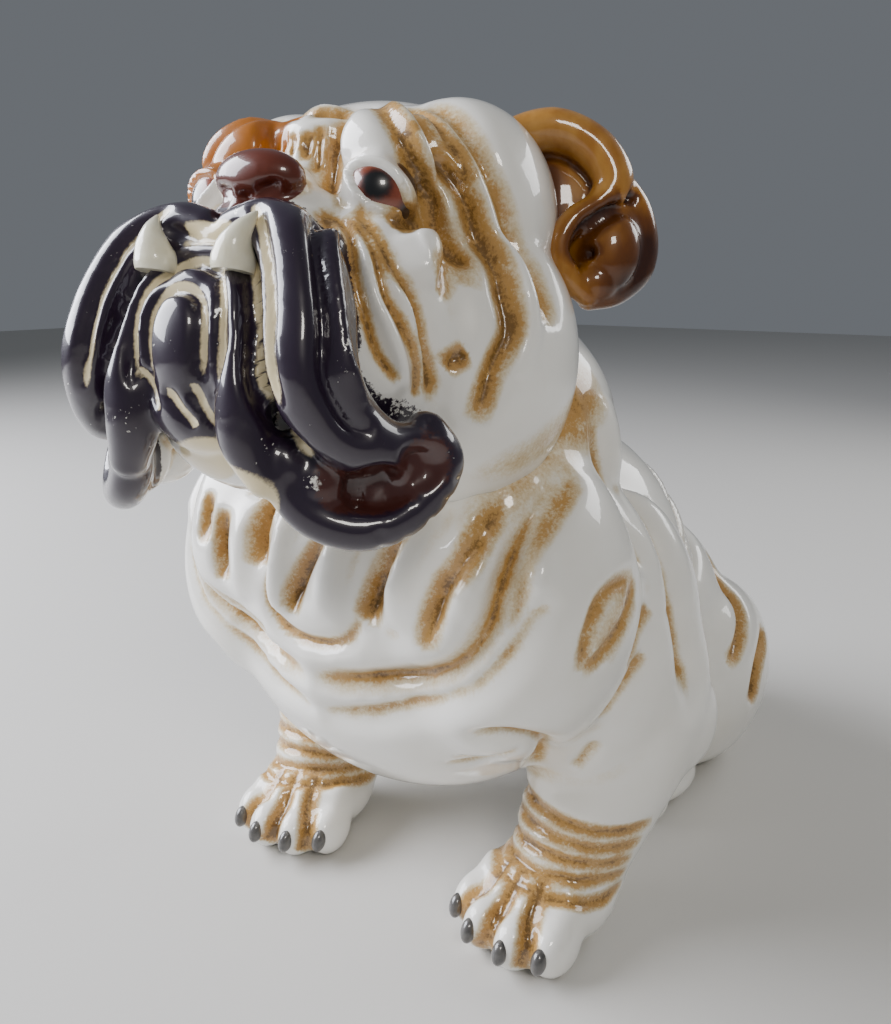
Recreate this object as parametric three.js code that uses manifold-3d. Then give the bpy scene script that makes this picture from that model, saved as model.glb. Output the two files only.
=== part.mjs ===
// Sitting bulldog figurine in glazed earthenware: hollow castings and small pressed pieces,
// luted together before firing. Millimetres, +Z up, the dog faces -Y, its left side is +X.
// The origin lies on the table, at the middle of the figurine's width and depth.
import * as THREE from "three";
import { mergeVertices } from "three/addons/utils/BufferGeometryUtils.js";
import Module from "manifold-3d";

const wasm = await Module();
wasm.setup();

// Overall sizes of the two big castings. The lumps below are written at the modelled sizes.
const bodySize = { width: 208, length: 320, height: 262 };
const headSize = { width: 176, length: 150, height: 158 };
const bodyModelled = { width: 208, length: 320, height: 262 };
const headModelled = { width: 176, length: 150, height: 158 };

// Clay and joints.
const castingWall = 6;
const lutingGap = 0.3;
const ventRadius = 9;
const neckBoreRadius = 26;

// Head carriage: the point that the head turns about, in body coordinates at the modelled size.
const headSeat = [2, -113, 249];
const headTurn = 6;
const headLift = 12;

// Forelegs, measured at the left one.
const upperArmRadius = 36;
const forearmRadius = 29;
const wristRadius = 25;
const pawSize = { width: 62, length: 74, height: 40 };
const pawToeIn = 10;
const leftPaw = [64, -85, 0];
const rightPaw = [-68, -87, 0];

// Hind feet and tail.
const hindFootSize = { width: 36, length: 80, height: 27 };
const tailRadius = 11;

// Face.
const eyeRadius = 11;
const tuskLength = 22;
const tuskRadius = 5.4;
const flewRadius = 13;
const lowerLipRadius = 12.5;
const lipFoldRadius = 8;
const earSize = { width: 58, depth: 27, height: 66 };
const earTurn = 27;
const conchaSize = { width: 17, depth: 14, height: 36 };

// How finely the skins are divided.
const torsoDetail = 10;
const headDetail = 9;

// Colours of the glazes.
const whiteGlaze = { color: 0xeceae2, roughness: 0.14 };
const amberGlaze = { color: 0x9a5a1c, roughness: 0.12 };
const toothGlaze = { color: 0xefecd8, roughness: 0.18 };
const eyeGlaze = { color: 0x2a140c, roughness: 0.06 };

const vec = (p) => new THREE.Vector3(...p);
const mirrored = (p) => [-p[0], p[1], p[2]];

// Body coordinates grow with the body, and head coordinates with the head.
function scaler(size, modelled) {
  const k = [size.width / modelled.width, size.length / modelled.length, size.height / modelled.height];
  return (p) => p.map((v, i) => v * k[i]);
}
const onBody = scaler(bodySize, bodyModelled);
const onHead = scaler(headSize, headModelled);
const headFrame = new THREE.Matrix4()
  .makeTranslation(...onBody(headSeat))
  .multiply(new THREE.Matrix4().makeRotationZ(THREE.MathUtils.degToRad(headTurn)))
  .multiply(new THREE.Matrix4().makeRotationX(THREE.MathUtils.degToRad(-headLift)));

// A lump is an egg of clay: its middle and its half sizes.
const lump = (at, size) => ({ at, size });
const pair = (at, size) => [lump(at, size), lump(mirrored(at), size)];
const scaled = (lumps, fit) => lumps.map((l) => lump(fit(l.at), fit(l.size)));

function eggDistance(p, egg) {
  let near = 0;
  let steep = 0;
  for (let i = 0; i < 3; i += 1) {
    const q = (p[i] - egg.at[i]) / egg.size[i];
    near += q * q;
    steep += (q / egg.size[i]) ** 2;
  }
  const k = Math.sqrt(near);
  return (k * (k - 1)) / Math.sqrt(steep);
}

// Lumps that melt into each other over the blend length.
function clayDistance(p, lumps, blend) {
  const sum = lumps.reduce((total, egg) => total + Math.exp(-eggDistance(p, egg) / blend), 0);
  return -blend * Math.log(sum);
}

function bare(geometry) {
  const plain = new THREE.BufferGeometry();
  plain.setAttribute("position", geometry.getAttribute("position").clone());
  if (geometry.index) plain.setIndex(geometry.index.clone());
  return mergeVertices(plain, 1e-4);
}

function solid(geometry) {
  const merged = bare(geometry);
  return new wasm.Manifold(
    new wasm.Mesh({
      numProp: 3,
      vertProperties: new Float32Array(merged.attributes.position.array),
      triVerts: new Uint32Array(merged.index.array),
    }),
  );
}

// The skin of a heap of lumps as seen from its middle, moved out by grow.
function skin(lumps, middle, { detail, blend = 6, grow = 0, reach = 260 }) {
  const geometry = bare(new THREE.IcosahedronGeometry(1, detail));
  const position = geometry.attributes.position;
  const ray = new THREE.Vector3();
  for (let i = 0; i < position.count; i += 1) {
    ray.fromBufferAttribute(position, i).normalize();
    let far = reach;
    let gap = Infinity;
    while (gap > 0.01 && far > 0) {
      const p = [middle[0] + ray.x * far, middle[1] + ray.y * far, middle[2] + ray.z * far];
      gap = clayDistance(p, lumps, blend) - grow;
      far -= Math.max(gap, 0) * 0.8;
    }
    position.setXYZ(i, middle[0] + ray.x * far, middle[1] + ray.y * far, middle[2] + ray.z * far);
  }
  return solid(geometry);
}

// A roll of clay along a smooth path. Its radius goes through radii, and blunt sets how full its ends are.
function roll(points, radii, { steps = 12, sides = 10, blunt = 0.45, grow = 0 } = {}) {
  const path = new THREE.CatmullRomCurve3(points.map(vec));
  const frames = path.computeFrenetFrames(steps, false);
  const geometry = bare(new THREE.SphereGeometry(1, sides, steps));
  const position = geometry.attributes.position;
  for (let i = 0; i < position.count; i += 1) {
    const unit = new THREE.Vector3().fromBufferAttribute(position, i);
    const ring = Math.round((Math.acos(THREE.MathUtils.clamp(unit.y, -1, 1)) / Math.PI) * steps);
    const along = ring / steps;
    const place = along * (radii.length - 1);
    const from = Math.min(Math.floor(place), radii.length - 2);
    const radius = THREE.MathUtils.lerp(radii[from], radii[from + 1], place - from) + grow;
    const full = radius * Math.sin(Math.PI * along) ** blunt;
    const round = Math.hypot(unit.x, unit.z) || 1;
    const centre = path.getPointAt(along);
    centre.addScaledVector(frames.normals[ring], (unit.x / round) * (ring % steps ? full : 0));
    centre.addScaledVector(frames.binormals[ring], (unit.z / round) * (ring % steps ? full : 0));
    const end = along === 0 ? -grow : along === 1 ? grow : 0;
    centre.addScaledVector(frames.tangents[ring], end);
    position.setXYZ(i, centre.x, centre.y, centre.z);
  }
  return solid(geometry);
}

function placed(shape, matrix) {
  const mesh = shape.getMesh();
  const geometry = new THREE.BufferGeometry();
  geometry.setAttribute("position", new THREE.BufferAttribute(mesh.vertProperties.slice(), 3));
  geometry.setIndex(new THREE.BufferAttribute(mesh.triVerts.slice(), 1));
  return solid(geometry.applyMatrix4(matrix));
}

const joined = (shapes) => shapes.reduce((whole, next) => whole.add(next));

// What lies above the height z.
function above(shape, z) {
  const side = 900;
  const ground = new THREE.BoxGeometry(side, side, side).translate(0, 0, z - side / 2);
  return shape.subtract(solid(ground));
}

function ball(at, radius, sides = 16) {
  return solid(new THREE.SphereGeometry(radius, sides, sides / 2).translate(...at));
}

// Torso, neck and haunches.
const torsoLumps = scaled(
  [
    lump([0, -90, 142], [92, 70, 86]),
    ...pair([54, -105, 150], [49, 52, 62]),
    ...pair([67, -54, 120], [41, 48, 66]),
    lump([0, -8, 116], [88, 88, 88]),
    lump([0, 70, 80], [78, 74, 69]),
    lump([0, 92, 50], [74, 60, 55]),
    ...pair([58, 88, 51], [40, 59, 55]),
    lump([0, -78, 204], [78, 64, 62]),
    lump([0, -50, 204], [58, 42, 42]),
  ],
  onBody,
);
const torsoMiddle = onBody([0, -10, 110]);
const torso = (grow, detail) => skin(torsoLumps, torsoMiddle, { detail, grow, blend: 7 });

// Skull, cheeks, brows and muzzle.
const skullLumps = scaled(
  [
    lump([0, -4, 26], [62, 51, 49]),
    ...pair([33, -8, 34], [33, 38, 39]),
    ...pair([43, -10, -14], [37, 42, 49]),
    ...pair([31, -38, 43], [23, 19, 16]),
    lump([0, -48, 8], [34, 34, 28]),
    ...pair([27, -48, -12], [30, 34, 40]),
    lump([0, -50, -42], [38, 34, 24]),
    lump([0, 20, -16], [52, 40, 50]),
  ],
  onHead,
);
const chinLumps = scaled(
  [
    lump([0, -83, -20], [19, 20, 26]),
    ...pair([14, -83, -17], [17, 18, 25]),
    lump([0, -83, -36], [20, 16, 16]),
    lump([0, -76, 4], [24, 17, 14]),
  ],
  onHead,
);
const noseLumps = scaled([lump([0, -70, 31], [16.5, 9.5, 8.5]), lump([0, -60, 33], [15, 12, 6])], onHead);
const flewPath = [
  [6, -84, 12],
  [17, -84, 12],
  [29, -86, 4],
  [36, -88, -10],
  [40, -89, -26],
  [45, -83, -38],
  [53, -72, -45],
  [62, -60, -43],
].map(onHead);
const lowerLipPath = [
  [24, -82, -48],
  [33, -79, -57],
  [46, -70, -61],
  [56, -62, -55],
  [60, -58, -43],
].map(onHead);
const lipFoldPath = [
  [20, -94, -18],
  [22, -94, -32],
  [22, -92, -45],
  [27, -88, -56],
].map(onHead);

function headShape(grow, detail) {
  const flewRadii = [0.55, 0.7, 0.92, 1, 1, 0.9, 0.7, 0.55].map((share) => share * flewRadius);
  const lipRadii = [0.6, 0.9, 1, 1, 0.7].map((share) => share * lowerLipRadius);
  const foldRadii = [0.75, 1, 1, 0.75].map((share) => share * lipFoldRadius);
  const lips = [(p) => p, mirrored].flatMap((side) => [
    roll(flewPath.map(side), flewRadii, { grow }),
    roll(lowerLipPath.map(side), lipRadii, { grow }),
    roll(lipFoldPath.map(side), foldRadii, { steps: 8, grow }),
  ]);
  const shapes = [
    skin(skullLumps, onHead([0, -8, 8]), { detail, grow }),
    skin(chinLumps, onHead([0, -78, -18]), { detail: 4, grow, blend: 3 }),
    skin(noseLumps, onHead([0, -66, 32]), { detail: 3, grow, blend: 3 }),
    ...lips,
  ];
  return placed(joined(shapes), headFrame);
}

// The opening that joins the two hollows through the neck.
const neckBore = roll(
  [
    [0, -40, 150],
    [0, -74, 205],
    [-3, -98, 246],
  ].map(onBody),
  [neckBoreRadius, neckBoreRadius, neckBoreRadius],
  { steps: 10, sides: 20, blunt: 0.3 },
);

const torsoHollow = above(torso(-castingWall, 5), castingWall);
const vent = solid(
  new THREE.CylinderGeometry(ventRadius, ventRadius, castingWall * 4, 24)
    .rotateX(Math.PI / 2)
    .translate(...onBody([0, 62, 0])),
);
const bodyCasting = above(torso(0, torsoDetail), 0)
  .subtract(torsoHollow)
  .subtract(vent)
  .subtract(neckBore)
  .subtract(headShape(lutingGap, headDetail));

const skullHollow = placed(
  skin(skullLumps, onHead([0, -8, 8]), { detail: 4, grow: -castingWall }),
  headFrame,
);
const eyeSeat = onHead([31, -52.5, 30]);
const tuskSeat = onHead([16, -97, 2]);
const earSeat = onHead([64, 12, 39]);

function tusk(side, grow) {
  const [x, y, z] = side(tuskSeat);
  const out = Math.sign(x);
  const points = [
    [x - out * 1.2, y + 2, z - tuskLength * 0.38],
    [x, y, z],
    [x + out * 2.8, y + 5.5, z + tuskLength * 0.6],
  ];
  const radii = [tuskRadius, tuskRadius * 0.9, 1.2];
  return placed(roll(points, radii, { steps: 8, sides: 10, blunt: 0.3, grow }), headFrame);
}

const eye = (side, grow) => placed(ball(side(eyeSeat), eyeRadius + grow), headFrame);

// A folded ear in a frame of its own: x away from the skull, y away from the face, z up.
// A flat back, the lobe of the flap hung in front of its outer half, and the concha sunk beside it.
function ear(side) {
  const half = [earSize.width / 2, earSize.depth / 2, earSize.height / 2];
  const lumps = [
    lump([-half[0] * 0.05, half[1] * 0.35, half[2] * 0.08], [half[0] * 0.95, half[1] * 0.7, half[2] * 0.92]),
    lump([half[0] * 0.42, -half[1] * 0.1, -half[2] * 0.3], [half[0] * 0.5, half[1] * 0.85, half[2] * 0.66]),
  ].map((l) => lump(side(l.at), l.size));
  const concha = solid(
    new THREE.SphereGeometry(1, 14, 10)
      .scale(conchaSize.width / 2, conchaSize.depth / 2, conchaSize.height / 2)
      .translate(...side([-half[0] * 0.28, -half[1] * 0.6, half[2] * 0.1])),
  );
  const flap = skin(lumps, side([half[0] * 0.2, half[1] * 0.2, 0]), { detail: 5, blend: 4 });
  const whole = flap.subtract(concha);
  const seat = side(earSeat);
  const place = headFrame
    .clone()
    .multiply(new THREE.Matrix4().makeTranslation(...seat))
    .multiply(new THREE.Matrix4().makeRotationZ(THREE.MathUtils.degToRad(earTurn * Math.sign(seat[0]))));
  return placed(whole, place).subtract(headShape(lutingGap, headDetail));
}

const headCasting = headShape(0, headDetail)
  .subtract(skullHollow)
  .subtract(neckBore)
  .subtract(joined([(p) => p, mirrored].flatMap((side) => [eye(side, lutingGap), tusk(side, lutingGap)])));

// A foreleg with its paw: hollow down to the wrist and open where it's luted to the shoulder.
const legPath = [
  [68, -46, 128],
  [76, -46, 104],
  [77, -50, 80],
].map(onBody);

function foreleg(side, pawPlace) {
  const seat = onBody(pawPlace);
  const elbow = side(legPath.at(-1));
  const wrist = [seat[0] + side([4, 0, 0])[0], seat[1] + 10, pawSize.height * 0.75];
  const forearm = elbow.map((v, i) => (v + wrist[i]) / 2);
  const path = [...legPath.map(side), forearm, wrist];
  const elbowRadius = (upperArmRadius + forearmRadius) / 2;
  const radii = [upperArmRadius, upperArmRadius, elbowRadius, forearmRadius, wristRadius];
  const limb = roll(path, radii, { steps: 16, sides: 18, blunt: 0.3 });
  const bore = roll(
    path.slice(0, -1),
    radii.slice(0, -1).map((r) => r - castingWall),
    { steps: 12, sides: 14, blunt: 0.3 },
  );
  const half = [pawSize.width / 2, pawSize.length / 2, pawSize.height / 2];
  const toes = [-0.66, -0.24, 0.24, 0.66].map((share) =>
    lump(
      [share * half[0], -half[1] * (0.78 - 0.45 * share * share), half[2] * 0.62],
      [half[0] * 0.27, half[1] * 0.34, half[2] * 0.62],
    ),
  );
  const lumps = [
    lump([0, 0, half[2] * 0.85], [half[0] * 0.92, half[1] * 0.8, half[2] * 1.02]),
    lump([0, half[1] * 0.35, half[2] * 1.1], [half[0] * 0.85, half[1] * 0.6, half[2] * 1.1]),
    ...toes,
  ];
  const paw = skin(lumps, [0, -half[1] * 0.1, half[2] * 0.8], { detail: 7, blend: 1.6 });
  const turn = new THREE.Matrix4()
    .makeTranslation(...seat)
    .multiply(new THREE.Matrix4().makeRotationZ(THREE.MathUtils.degToRad(-pawToeIn * Math.sign(seat[0]))));
  return above(limb.subtract(bore).add(placed(paw, turn)), 0)
    .subtract(bore)
    .subtract(torso(lutingGap, torsoDetail));
}

function hindFoot(side) {
  const { width, length, height } = hindFootSize;
  const heel = onBody([56, 62, 0]);
  const lumps = [
    lump([heel[0], heel[1], height * 0.5], [width * 0.5, length * 0.4, height * 0.52]),
    lump([heel[0] + 2, heel[1] - length * 0.45, height * 0.45], [width * 0.5, length * 0.34, height * 0.48]),
  ].map((l) => lump(side(l.at), l.size));
  const middle = side([heel[0] + 1, heel[1] - length * 0.25, height * 0.45]);
  const shape = skin(lumps, middle, { detail: 4, blend: 4 });
  return above(shape, 0).subtract(torso(lutingGap, torsoDetail));
}

function tail() {
  const points = [
    [0, 138, 72],
    [0, 152, 66],
    [4, 160, 52],
    [12, 162, 44],
  ].map(onBody);
  const radii = [1, 1, 0.85, 0.45].map((share) => share * tailRadius);
  return roll(points, radii, { steps: 10, sides: 12 }).subtract(torso(lutingGap, torsoDetail));
}

function node(name, shape, { color, roughness }) {
  const mesh = shape.getMesh();
  const geometry = new THREE.BufferGeometry();
  geometry.setAttribute("position", new THREE.BufferAttribute(mesh.vertProperties, 3));
  geometry.setIndex(new THREE.BufferAttribute(mesh.triVerts, 1));
  geometry.computeVertexNormals();
  const made = new THREE.Mesh(geometry, new THREE.MeshStandardMaterial({ color, roughness, metalness: 0 }));
  made.name = name;
  return made;
}

const left = (p) => p;
const figurine = new THREE.Group();
figurine.name = "bulldog_figurine";
const pieces = [
  node("body_casting", bodyCasting, whiteGlaze),
  node("head_casting", headCasting, whiteGlaze),
  node("foreleg_left", foreleg(left, leftPaw), whiteGlaze),
  node("foreleg_right", foreleg(mirrored, rightPaw), whiteGlaze),
  node("hind_foot_left", hindFoot(left), whiteGlaze),
  node("hind_foot_right", hindFoot(mirrored), whiteGlaze),
  node("tail", tail(), whiteGlaze),
  node("ear_left", ear(left), amberGlaze),
  node("ear_right", ear(mirrored), amberGlaze),
  node("eye_left", eye(left, 0), eyeGlaze),
  node("eye_right", eye(mirrored, 0), eyeGlaze),
  node("tusk_left", tusk(left, 0), toothGlaze),
  node("tusk_right", tusk(mirrored, 0), toothGlaze),
];

// The origin goes under the middle of the whole figurine's box.
const box = new THREE.Box3();
pieces.forEach((piece) => box.expandByObject(piece));
const middle = box.getCenter(new THREE.Vector3());
pieces.forEach((piece) => piece.geometry.translate(-middle.x, -middle.y, 0));
figurine.add(...pieces);

export default figurine;
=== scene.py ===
# Sitting bulldog figurine: slip-cast earthenware, hand-painted under a clear glaze.
# It is modelled in millimetres in the maker's own frame and stands in the part's frame, in metres.
import bpy
import bmesh
import math
import numpy as np
from mathutils import Euler, Matrix, Vector
from mathutils.bvhtree import BVHTree


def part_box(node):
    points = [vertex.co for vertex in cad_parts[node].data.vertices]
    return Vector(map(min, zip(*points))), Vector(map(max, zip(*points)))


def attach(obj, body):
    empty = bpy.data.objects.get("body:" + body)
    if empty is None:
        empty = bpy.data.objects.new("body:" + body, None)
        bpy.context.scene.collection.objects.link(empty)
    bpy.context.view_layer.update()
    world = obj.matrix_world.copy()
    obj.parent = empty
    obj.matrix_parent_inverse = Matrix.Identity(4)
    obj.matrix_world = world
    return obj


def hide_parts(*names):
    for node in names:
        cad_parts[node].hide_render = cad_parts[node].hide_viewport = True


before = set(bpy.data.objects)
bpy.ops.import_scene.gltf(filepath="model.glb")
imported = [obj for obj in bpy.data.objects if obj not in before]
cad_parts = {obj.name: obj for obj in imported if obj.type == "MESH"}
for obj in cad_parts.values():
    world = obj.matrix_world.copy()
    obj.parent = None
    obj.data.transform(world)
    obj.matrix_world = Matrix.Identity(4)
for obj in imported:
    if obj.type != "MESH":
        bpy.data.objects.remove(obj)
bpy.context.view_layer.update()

mm = 0.001
headSeat = {"at": (2, -113, 249), "turn": 6, "lift": 12}
headFrame = (
    Matrix.Translation(Vector(headSeat["at"]) * mm)
    @ Matrix.Rotation(math.radians(headSeat["turn"]), 4, "Z")
    @ Matrix.Rotation(math.radians(-headSeat["lift"]), 4, "X")
)
eyeSeat = (31, -52.5, 30)  # in the head's own frame
eyeBox = [Vector(corner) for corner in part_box("eye_left")]
makersFrame = Matrix.Translation((eyeBox[0] + eyeBox[1]) / 2 - headFrame @ (Vector(eyeSeat) * mm))
headMiddle = Vector((0, -8, 8))
torsoMiddle = Vector((0, -10, 110))
left, right = 1, -1
both = (left, right)


# Clay tools: lumps and rolls that a voxel remesh melts together.
def onSide(point, side):
    return (point[0] * side, point[1], point[2])


def egg(clay, at, size, turn=(0, 0, 0), rounds=4):
    spin = Euler([math.radians(a) for a in turn]).to_matrix().to_4x4()
    stretch = Matrix.Diagonal((size[0] * mm, size[1] * mm, size[2] * mm, 1))
    bmesh.ops.create_icosphere(
        clay, subdivisions=rounds, radius=1, matrix=Matrix.Translation(Vector(at) * mm) @ spin @ stretch)


def eggs(clay, at, size, turn=(0, 0, 0), rounds=4):
    for side in both:
        egg(clay, onSide(at, side), size, (turn[0], turn[1] * side, turn[2] * side), rounds)


def smoothPath(points, count):
    knots = [Vector(p) for p in points]
    knots = [knots[0] * 2 - knots[1]] + knots + [knots[-1] * 2 - knots[-2]]
    spans = len(knots) - 3
    path = []
    for i in range(count):
        place = i / (count - 1) * spans
        k = min(int(place), spans - 1)
        t = place - k
        a, b, c, d = knots[k:k + 4]
        path.append(0.5 * (2 * b + (c - a) * t + (2 * a - 5 * b + 4 * c - d) * t ** 2
                           + (3 * b - a - 3 * c + d) * t ** 3))
    return path


def stepped(values, share):
    place = share * (len(values) - 1)
    k = min(int(place), len(values) - 2)
    return values[k] + (values[k + 1] - values[k]) * (place - k)


def roll(clay, points, radii, side=left, count=40, rounds=3):
    for i, p in enumerate(smoothPath([onSide(p, side) for p in points], count)):
        r = stepped(radii, i / (count - 1))
        egg(clay, p, (r, r, r), rounds=rounds)


def rolls(clay, points, radii, count=40, rounds=3):
    for side in both:
        roll(clay, points, radii, side, count, rounds)


def addMesh(name, mesh):
    obj = bpy.data.objects.new(name, mesh)
    bpy.context.scene.collection.objects.link(obj)
    return obj


def evaluatedMesh(obj):
    graph = bpy.context.evaluated_depsgraph_get()
    return bpy.data.meshes.new_from_object(obj.evaluated_get(graph))


def melt(clay, voxel, smoothing):
    rough = bpy.data.meshes.new("rough")
    clay.to_mesh(rough)
    clay.free()
    obj = addMesh("melting", rough)
    remesh = obj.modifiers.new("remesh", "REMESH")
    remesh.mode = "VOXEL"
    remesh.voxel_size = voxel * mm
    if smoothing:
        smooth = obj.modifiers.new("smooth", "SMOOTH")
        smooth.factor = 0.5
        smooth.iterations = smoothing
    made = evaluatedMesh(obj)
    bpy.data.objects.remove(obj)
    return made


def skinTree(mesh):
    points = [v.co.copy() for v in mesh.vertices]
    return BVHTree.FromPolygons(points, [list(p.vertices) for p in mesh.polygons])


# A skin holds arrays over a mesh, and strokes press, raise and paint it.
brushSpread = 1.35  # a brushed line runs this much wider than the tool that cut the crease
paints = ("washAndShade", "lip", "cream", "liver", "gum", "amber", "rim", "pool")


class Skin:
    def __init__(self, mesh, middle, aimTree=None):
        self.mesh = mesh
        self.middle = middle * mm
        self.ownTree = skinTree(mesh)
        self.tree = aimTree or self.ownTree
        self.count = len(mesh.vertices)
        flat = np.empty(self.count * 3)
        mesh.vertices.foreach_get("co", flat)
        self.co = flat.reshape(-1, 3)
        flat = np.empty(self.count * 3, dtype=np.float32)
        mesh.vertex_normals.foreach_get("vector", flat)
        self.normal = flat.reshape(-1, 3).astype(float)
        edges = np.empty(len(mesh.edges) * 2, dtype=np.int64)
        mesh.edges.foreach_get("vertices", edges)
        self.edges = edges.reshape(-1, 2)
        self.press = np.zeros(self.count)
        self.rise = np.zeros(self.count)
        self.paint = {name: np.zeros(self.count) for name in paints}

    def spot(self, azimuth, elevation):
        a, e = math.radians(azimuth), math.radians(elevation)
        out = Vector((math.sin(a) * math.cos(e), -math.cos(a) * math.cos(e), math.sin(e)))
        hit = self.tree.ray_cast(self.middle + out * 0.4, -out)[0]
        return hit if hit is not None else self.middle + out * 0.08

    def line(self, points, side):
        # points are either azimuth and elevation from the middle, or places in millimetres near the skin
        count = max(24, len(points) * 14)
        if len(points[0]) == 3:
            path = smoothPath([onSide(p, side) for p in points], count)
            return np.array([self.ownTree.find_nearest(p * mm)[0] for p in path])
        aims = smoothPath([(a * side, e, 0) for a, e in points], count)
        return np.array([self.spot(a, e) for a, e, _ in aims])

    def near(self, line, reach):
        low, high = line.min(0) - reach, line.max(0) + reach
        inside = np.nonzero(np.all((self.co > low) & (self.co < high), axis=1))[0]
        gap = np.empty(len(inside))
        along = np.empty(len(inside))
        for i in range(0, len(inside), 4000):
            part = inside[i:i + 4000]
            square = ((self.co[part][:, None, :] - line[None]) ** 2).sum(2)
            best = square.argmin(1)
            gap[i:i + 4000] = np.sqrt(square[np.arange(len(part)), best])
            along[i:i + 4000] = best / (len(line) - 1)
        close = gap < reach
        return inside[close], gap[close], along[close]

    def stroke(self, points, width, deep=0, high=0, tone=0, toneWidth=None, paint="washAndShade", taper=0.18,
               sides=both):
        brush = (toneWidth or width * 0.5) * brushSpread
        for side in sides:
            line = self.line(points, side)
            reach = max(width, (toneWidth or 0) * brushSpread) * mm
            at, gap, along = self.near(line, reach)
            if not len(at):
                continue
            if taper:
                fade = np.clip(np.minimum(along, 1 - along) / taper, 0.0, 1.0) ** 0.6
            else:
                fade = np.ones(len(at))
            share = np.clip(1 - gap / (width * mm), 0, 1)
            if deep:
                self.press[at] = np.maximum(self.press[at], deep * mm * share ** 2.1 * fade)
            if high:
                bump = high * mm * (share ** 2 * (3 - 2 * share)) * fade
                self.rise[at] = np.maximum(self.rise[at], bump)
            if tone:
                inner = np.clip(1 - gap / (brush * mm), 0, 1)
                laid = tone * inner * np.clip(fade * 1.6, 0, 1)
                self.paint[paint][at] = np.maximum(self.paint[paint][at], laid)

    def dent(self, azimuth, elevation, radius, deep):
        for side in both:
            centre = np.array(self.spot(azimuth * side, elevation))
            at, gap, _ = self.near(centre[None, :].repeat(2, 0), radius * mm)
            share = 1 - gap / (radius * mm)
            soft = share ** 2 * (3 - 2 * share)
            self.press[at] = np.maximum(self.press[at], deep * mm * soft)

    def daub(self, points, reach, paint, tone=1, soft=2.5, sides=both):
        # paint on all the skin within reach of a path given in millimetres, fading over a soft edge
        for side in sides:
            line = np.array([p[:] for p in smoothPath([onSide(p, side) for p in points], 60)]) * mm
            at, gap, _ = self.near(line, (reach + soft) * mm)
            full = np.clip((reach + soft - gap / mm) / (2 * soft), 0, 1)
            self.paint[paint][at] = np.maximum(self.paint[paint][at], tone * full)

    def averaged(self, values, rounds):
        a, b = self.edges[:, 0], self.edges[:, 1]
        degree = np.bincount(a, minlength=self.count) + np.bincount(b, minlength=self.count)
        flat = values.reshape(self.count, -1).astype(float)
        for _ in range(rounds):
            for c in range(flat.shape[1]):
                total = np.bincount(a, flat[b, c], self.count) + np.bincount(b, flat[a, c], self.count)
                flat[:, c] = 0.5 * flat[:, c] + 0.5 * total / degree
        return flat.reshape(values.shape)

    def apply(self, settle=2):
        self.co = self.co + self.normal * (self.rise - self.press)[:, None]
        self.co = self.averaged(self.co, settle)
        self.press[:] = 0
        self.rise[:] = 0
        self.settle()

    def settle(self):
        self.mesh.vertices.foreach_set("co", self.co.ravel())
        self.mesh.update()
        flat = np.empty(self.count * 3, dtype=np.float32)
        self.mesh.vertex_normals.foreach_get("vector", flat)
        self.normal = flat.reshape(-1, 3).astype(float)
        aimsAtItself = self.tree is self.ownTree
        self.ownTree = skinTree(self.mesh)
        if aimsAtItself:
            self.tree = self.ownTree

    def creases(self, rounds, full):
        sunk = ((self.averaged(self.co, rounds) - self.co) * self.normal).sum(1)
        return np.clip(self.averaged(sunk, 1) / (full * mm), 0, 1)

    def finish(self):
        for name, values in self.paint.items():
            layer = self.mesh.attributes.new(name, "FLOAT", "POINT")
            layer.data.foreach_set("value", np.clip(values, 0, 1).astype(np.float32))
        self.mesh.polygons.foreach_set("use_smooth", np.ones(len(self.mesh.polygons), dtype=bool))


def crease(points, width, deep, tone=0, toneWidth=None, **more):
    # width and depth are the modelling tool's, and tone and toneWidth the brush's
    return {"points": points, "width": width, "deep": deep, "tone": tone, "toneWidth": toneWidth, **more}


print("clay tools ready")

# Torso, haunches and forelegs are sculpted as one skin, then parted at the luted joints.
torsoClay = {
    "voxel": 3.0,
    "smoothing": 10,
    "skinVoxel": 1.8,
    "upperArm": 36,
    "forearm": 29,
    "wrist": 25,
    "leftPaw": (64, -85, 0),
    "rightPaw": (-68, -87, 0),
    "pawToeIn": 10,
    "toes": ((-21, -20, 8.5), (-8, -27, 9.5), (8, -27, 9.5), (21, -20, 8.5)),  # x, y and knuckle radius
    "toeGaps": (-14.5, 0, 14.5),
    "wristReach": (112, 90, 118, 80, 100),  # degrees that each ring of skin runs round to either side
    "rollDepth": 2.1,  # shares of the depths written below
    "foldDepth": 1.5,
    "claw": (3.1, 3.6, 5.2),
    "jointWall": 4,
}


def torsoLumps(clay):
    egg(clay, (0, -90, 142), (92, 70, 86))
    eggs(clay, (54, -105, 150), (49, 52, 62))
    eggs(clay, (67, -54, 120), (41, 48, 66))
    egg(clay, (0, -8, 116), (88, 88, 88))
    egg(clay, (0, 70, 80), (78, 74, 69))
    egg(clay, (0, 92, 50), (74, 60, 55))
    eggs(clay, (58, 88, 51), (40, 59, 55))
    egg(clay, (0, -78, 204), (78, 64, 62))
    egg(clay, (0, -50, 204), (58, 42, 42))


def legLumps(clay, side, paw):
    c = torsoClay
    wrist = (paw[0] + 4 * side, paw[1] + 10, 30)
    elbow = (77 * side, -50, 80)
    forearm = tuple((e + w) / 2 for e, w in zip(elbow, wrist))
    roll(clay, [(68 * side, -46, 128), (76 * side, -46, 104), elbow, forearm, wrist],
         [c["upperArm"], c["upperArm"], (c["upperArm"] + c["forearm"]) / 2, c["forearm"], c["wrist"]])
    egg(clay, (90 * side, -34, 84), (23, 23, 29))


def pawPlace(side, paw):
    return Matrix.Translation(Vector(paw) * mm) @ Matrix.Rotation(
        math.radians(-torsoClay["pawToeIn"] * side), 4, "Z")


def fromPaw(side, paw, point):
    return tuple((pawPlace(side, paw) @ (Vector(point) * mm)) / mm)


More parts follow.
